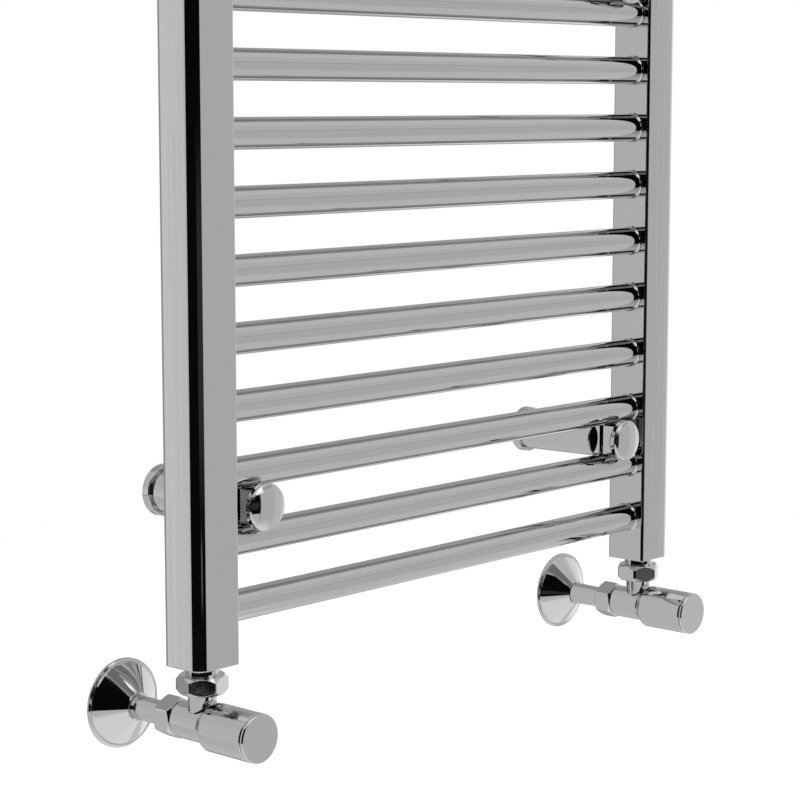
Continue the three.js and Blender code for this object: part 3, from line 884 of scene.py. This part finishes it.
def neckMesh(at):
    # neck rising from the barrel, its foot spread in a rolled fillet that follows the barrel
    sizes = bodySizes
    neck, barrel, fillet = sizes["branchRadius"], sizes["radius"], sizes["fillet"]
    sides, steps = 128, 8
    rings = [[(0, 0, sizes["foot"])], [], []]
    rings += [[] for step in range(steps + 1)]
    for k in range(sides):
        angle = 2 * math.pi * k / sides
        cosine, sine = math.cos(angle), math.sin(angle)
        middle = Vector(((neck + fillet) * cosine, (neck + fillet) * sine, 0))
        middle.z = math.sqrt((barrel + fillet) ** 2 - middle.x ** 2)
        outward = Vector((middle.x, 0, middle.z)).normalized()
        low = middle - outward * fillet
        rings[1].append((low.x * sizes["footDraw"], low.y, sizes["foot"]))
        rings[2].append(tuple(low - outward * sizes["sink"]))
        spokes = [-outward, Vector((-cosine, -sine, 0))]
        swing = spokes[0].angle(spokes[1])
        for step in range(steps + 1):
            share = step / steps
            spoke = (
                spokes[0] * math.sin((1 - share) * swing) + spokes[1] * math.sin(share * swing)
            ) / math.sin(swing)
            rings[3 + step].append(tuple(middle + spoke * fillet))
    rings += turnedRings([
        (neck + sizes["branchFlare"], sizes["branchTop"], 0.4),
        (sizes["collarRadius"], sizes["collarLow"], 0.3),
        (sizes["collarRadius"], sizes["collarTop"], 0.3), (0, sizes["collarTop"]),
    ], "z", sides)
    return finishShape(skinOver(bmesh.new(), rings, False, at), "neck")


def makeValveBody(node, headNode, nutNode):
    sizes = bodySizes
    x, back = backCentre(node)[:2]
    at = (x, 0, 0)
    unionDepth = -centreOf(nutNode).y
    headBack = -boxOf(headNode)[1].y
    start, end = -back, -boxOf(node)[0].y
    shoulder = unionDepth - sizes["barrelBack"]
    frontEdge = headBack - 0.4
    barrel = turnedMesh("barrel", [
        (0, start), (sizes["threadRadius"], start, 0.6), (sizes["threadRadius"], shoulder, 0.2),
        (sizes["radius"], shoulder, 0.9), (sizes["radius"], frontEdge, 0.4),
        (sizes["threadRadius"], frontEdge, 0.2), (sizes["threadRadius"], end, 0.3), (0, end),
    ], "y", 128, at=at)
    branch = neckMesh((x, -unionDepth, 0))
    headRoom = turnedMesh("headRoom", [
        (0, frontEdge - 0.02), (headSizes["radius"] + 0.6, frontEdge - 0.02),
        (headSizes["radius"] + 0.6, end + 8), (0, end + 8),
    ], "y", 128, at=at)
    seat = turnedMesh("seat", [
        (0, unionDepth - sizes["seatBack"]), (sizes["throat"], unionDepth - sizes["seatBack"]),
        (sizes["throat"], end + 1), (0, end + 1),
    ], "y", 96, at=at)
    socket = turnedMesh("socket", [
        (0, start - 1), (sizes["socketMouth"], start - 1), (sizes["socket"], start + 2.2),
        (sizes["socket"], unionDepth - sizes["socketEnd"]),
        (sizes["waterway"], unionDepth - sizes["socketEnd"]),
        (sizes["waterway"], unionDepth - sizes["seatBack"] + 0.5),
        (0, unionDepth - sizes["seatBack"] + 0.5),
    ], "y", 96, at=at)
    rise = turnedMesh("rise", [
        (0, 0), (sizes["rise"], 0), (sizes["rise"], sizes["collarTop"] + 1), (0, sizes["collarTop"] + 1),
    ], "z", 64, at=(x, -unionDepth, 0))
    neck = combined([branch, headRoom], ["DIFFERENCE"], "neck")
    body = combined(
        [barrel, neck, seat, socket, rise], ["UNION", "DIFFERENCE", "DIFFERENCE", "DIFFERENCE"], node
    )
    addPiece(node, body, "chromeFitting", 0.45)


def makeUnionTail(node):
    low, high = boxOf(node)
    sizes = tailSizes
    tall = high.z - low.z
    neckTop = boxOf("collector_left")[0].z - low.z - 0.3
    mesh = turnedMesh(node, [
        (sizes["bore"], 0, 0.2), (sizes["flange"], 0, 0.3), (sizes["flange"], sizes["flangeDepth"], 0.3),
        (sizes["neck"], sizes["flangeDepth"], 0.2), (sizes["neck"], neckTop, 0.3),
        (sizes["thread"], neckTop, 0.1), (sizes["thread"], tall, 0.5), (sizes["bore"], tall, 0.3),
    ], "z", 96, True, footCentre(node))
    addPiece(node, mesh, "chromeFitting")


def makeBonnet(node):
    sizes = bonnetSizes
    depth = depthOf(node)
    shank, flange, neck, bore, chamber = [
        sizes[part] for part in ("shank", "flange", "neck", "bore", "chamber")
    ]
    back = depth - sizes["flangeToFront"]
    front = back + sizes["flangeDepth"]
    mesh = turnedMesh(node, [
        (chamber, 0, 0.1), (shank, 0, 0.2), (shank, back, 0.1), (flange, back, 0.4),
        (flange, front, 0.6), (neck, front, 0.4), (neck, depth, 0.5), (bore, depth, 0.2),
        (bore, sizes["chamberDepth"], 0.1), (chamber, sizes["chamberDepth"], 0.1),
    ], "y", 96, True, backCentre(node))
    addPiece(node, mesh, "sawnBrass")


def makePlug(node):
    # the closer's face is at its back and presses on the seat
    depth = depthOf(node)
    face, stem, bore = plugSizes["face"], plugSizes["stem"], plugSizes["bore"]
    step, floor = plugSizes["faceDepth"], depth - plugSizes["boreDepth"]
    mesh = turnedMesh(node, [
        (0, 0), (face, 0, 0.8), (face, step, 0.5), (stem, step, 0.3), (stem, depth, 0.4),
        (bore, depth, 0.2), (bore, floor, 0.1), (0, floor),
    ], "y", 96, False, backCentre(node))
    addPiece(node, mesh, "sealRubber")


def makeSpindle(node, bonnetNode, square=0):
    sizes = spindleSizes
    depth = depthOf(node)
    radius, clipRadius = sizes["radius"], sizes["clip"]
    x, back, z = backCentre(node)
    clip = -boxOf(bonnetNode)[0].y + back + 0.3
    clipFront = clip + sizes["clipDepth"]
    front = depth - square
    mesh = turnedMesh(node, [
        (0, 0), (radius, 0, 0.4), (radius, clip, 0.1), (clipRadius, clip, 0.2),
        (clipRadius, clipFront, 0.2), (radius, clipFront, 0.1), (radius, front, 0.5), (0, front),
    ], "y", 64, False, (x, back, z))
    if square:
        profile = squareOutline(sizes["squareHalf"], 0.4)
        rings = []
        for along, scale in ((front - 1, 1), (depth - 0.5, 1), (depth, 0.84)):
            rings.append([(px * scale, -along, pz * scale) for px, pz in profile])
        key = finishShape(skinOver(bmesh.new(), rings, False, (x, back, z)), "key")
        mesh = combined([mesh, key], ["UNION"], node)
    addPiece(node, mesh, "nickelStem")


def headOutside(depth):
    sizes = headSizes
    return [
        (sizes["foot"], 0, 0.3), (sizes["foot"] + 0.5, 0.9, 0.8), (sizes["radius"], sizes["taper"], 2.2),
        (sizes["radius"], depth, sizes["frontEdge"]),
    ]


def makeWheelHead(node, bonnetNode):
    # shell, web across it in front of the bonnet, and the hub that grips the spindle
    sizes = headSizes
    depth = depthOf(node)
    bore, hub, hubBore = sizes["bore"], sizes["hub"], sizes["hubBore"]
    web = -boxOf(bonnetNode)[0].y + boxOf(node)[1].y + 2
    webFront, hubFront = web + sizes["webDepth"], web + sizes["hubDepth"]
    mesh = turnedMesh(node, headOutside(depth) + [
        (bore, depth, 0.3), (bore, webFront, 0.5), (hub, webFront, 0.5), (hub, hubFront, 0.3),
        (hubBore, hubFront, 0.2), (hubBore, web, 0.1), (bore, web, 0.5), (bore, 9, 0.8),
        (11.5, 5, 0.3), (11.5, 0, 0.2),
    ], "y", sizes["sides"], True, backCentre(node))
    addPiece(node, mesh, "chromeFitting")


def makeCap(node, bonnetNode):
    # shell with a rib inside, just in front of the bonnet's flange
    sizes = headSizes
    depth = depthOf(node)
    bore, ribBore = sizes["bore"], sizes["ribBore"]
    flangeBack = boxOf(bonnetNode)[0].y + bonnetSizes["flangeToFront"]
    ribFront = -flangeBack + boxOf(node)[1].y + 1 + sizes["ribDepth"]
    mesh = turnedMesh(node, headOutside(depth) + [
        (bore, depth, 0.3), (bore, ribFront, 0.6), (ribBore, ribFront, 0.4), (ribBore, 0, 0.2),
    ], "y", sizes["sides"], True, backCentre(node))
    addPiece(node, mesh, "chromeFitting")


def makeHeadDisc(node):
    sizes = headSizes
    depth = depthOf(node)
    radius, plug, bevel = sizes["radius"], sizes["bore"] - 0.3, depth - sizes["discBevel"]
    mesh = turnedMesh(node, [
        (0, 0), (plug, 0, 0.3), (plug, depth - sizes["discStep"], 0.1),
        (radius - 0.7, bevel - 0.6, 0.1), (radius, bevel, 0.5),
        (radius, depth, sizes["discEdge"]), (0, depth),
    ], "y", sizes["sides"], False, backCentre(node))
    addPiece(node, mesh, "chromeFitting")


for sideName in ("left", "right"):
    valve = "valve_" + sideName
    head = valve + ("_wheel_head" if sideName == "left" else "_lockshield_cap")
    makeWallCover(valve + "_wall_cover")
    sleeve = [sleeveSizes[part] for part in ("bore", "back", "front")]
    makeTube(valve + "_pipe_sleeve", *sleeve, "chromeFitting")
    pipe = boxOf(valve + "_supply_pipe")
    pipeRadius = (pipe[1].x - pipe[0].x) / 2
    makeTube(valve + "_supply_pipe", pipeRadius - pipeSizes["wall"], pipeRadius, pipeRadius, "drawnSteel")
    makeOlive(valve + "_olive")
    makeValveBody(valve + "_body", head, valve + "_union_nut")
    makeUnionTail(valve + "_union_tail")
    nut = valve + "_compression_nut"
    nutBox = boxOf(nut)
    addPiece(nut, hexMesh(
        nut, pipeNutSizes, -nutBox[0].y, -nutBox[1].y, "y", (centreOf(nut).x, 0, 0),
    ), "chromeFitting", 0.2)
    nut = valve + "_union_nut"
    nutBox = boxOf(nut)
    middle = centreOf(nut)
    addPiece(nut, hexMesh(
        nut, unionNutSizes, nutBox[0].z, nutBox[1].z, "z", (middle.x, middle.y, 0),
        unionNutSizes["turn"][sideName],
    ), "chromeFitting", 0.25)
    makeBonnet(valve + "_bonnet")
    makePlug(valve + "_plug")
makeSpindle("valve_left_spindle", "valve_left_bonnet")
makeSpindle("valve_right_spindle", "valve_right_bonnet", 7)
makeWheelHead("valve_left_wheel_head", "valve_left_bonnet")
makeHeadDisc("valve_left_head_disc")
makeCap("valve_right_lockshield_cap", "valve_right_bonnet")
makeHeadDisc("valve_right_cap_disc")
print("valves made")


# fittings on top of the collectors
topFittings = {
    "thread": 10.4, "shank": 9.3, "socket": 5.6, "ventRadius": 13.0, "ventGroove": 0.5,
    "ventBore": 4.0, "ventOutlet": 1.1, "keyTall": 3.5, "keyHalf": 2.3,
    "hex": {
        "flats": 22.52, "corner": 0.6, "chamfer": 1.2, "face": 10.9,
        "thread": 5.2, "mouth": 5.2, "lip": 1.0,
    },
}


def makeBlankingPlug(node):
    low, high = boxOf(node)
    foot = footCentre(node)
    sizes = topFittings
    shank, socket = sizes["shank"], sizes["socket"]
    hexagon = hexMesh(node, sizes["hex"], low.z + shank, high.z, "z", (foot[0], foot[1], 0), 0)
    shaft = turnedMesh("shaft", [
        (0, 0), (sizes["thread"], 0, 0.6), (sizes["thread"], shank + 0.5, 0.1), (0, shank + 0.5),
    ], "z", 96, False, foot)
    core = turnedMesh("core", [
        (0, shank + 0.2), (socket, shank + 0.2), (socket, shank + 3), (0, shank + 3),
    ], "z", 6, False, foot)
    addPiece(node, combined([hexagon, shaft, core], ["UNION", "UNION"], node), "chromeFitting", 0.2)


def makeVentBody(node):
    low, high = boxOf(node)
    foot = footCentre(node)
    sizes = topFittings
    tall = high.z - low.z
    seat, thread, radius = sizes["shank"], sizes["thread"], sizes["ventRadius"]
    shell = turnedMesh(node, [
        (0, 0), (thread, 0, 0.6), (thread, seat, 0.1), (radius, seat, 0.4), (radius, seat + 3.4, 0.3),
        (radius - sizes["ventGroove"], seat + 3.8, 0.2), (radius, seat + 4.2, 0.3),
        (radius, tall, 1.3), (0, tall),
    ], "z", 128, False, foot)
    bore = turnedMesh("bore", [
        (0, 8), (sizes["ventBore"], 8), (sizes["ventBore"], tall + 1), (0, tall + 1),
    ], "z", 48, False, foot)
    outlet = turnedMesh("outlet", [
        (0, 0), (sizes["ventOutlet"], 0), (sizes["ventOutlet"], 20), (0, 20),
    ], "y", 24, False, (foot[0], foot[1], foot[2] + 12))
    mesh = combined([shell, bore, outlet], ["DIFFERENCE", "DIFFERENCE"], node)
    addPiece(node, mesh, "chromeFitting", 0.2)


def makeVentScrew(node):
    low, high = boxOf(node)
    foot = footCentre(node)
    tall = high.z - low.z
    radius = topFittings["ventBore"] - 0.3
    keyTall = topFittings["keyTall"]
    shaft = turnedMesh(node, [
        (0, 0), (1, 0, 0.2), (radius, 2.7, 0.4), (radius, tall - keyTall, 0.5), (0, tall - keyTall),
    ], "z", 64, False, foot)
    profile = squareOutline(topFittings["keyHalf"], 0.35)
    rings = []
    for along, scale in ((tall - keyTall - 1.4, 1), (tall - 0.4, 1), (tall, 0.85)):
        rings.append([(px * scale, py * scale, along) for px, py in profile])
    key = finishShape(skinOver(bmesh.new(), rings, False, foot), "key")
    addPiece(node, combined([shaft, key], ["UNION"], node), "nickelStem", 0.1)


makeBlankingPlug("blanking_plug")
makeVentBody("air_vent_body")
makeVentScrew("air_vent_screw")
print("top fittings made")
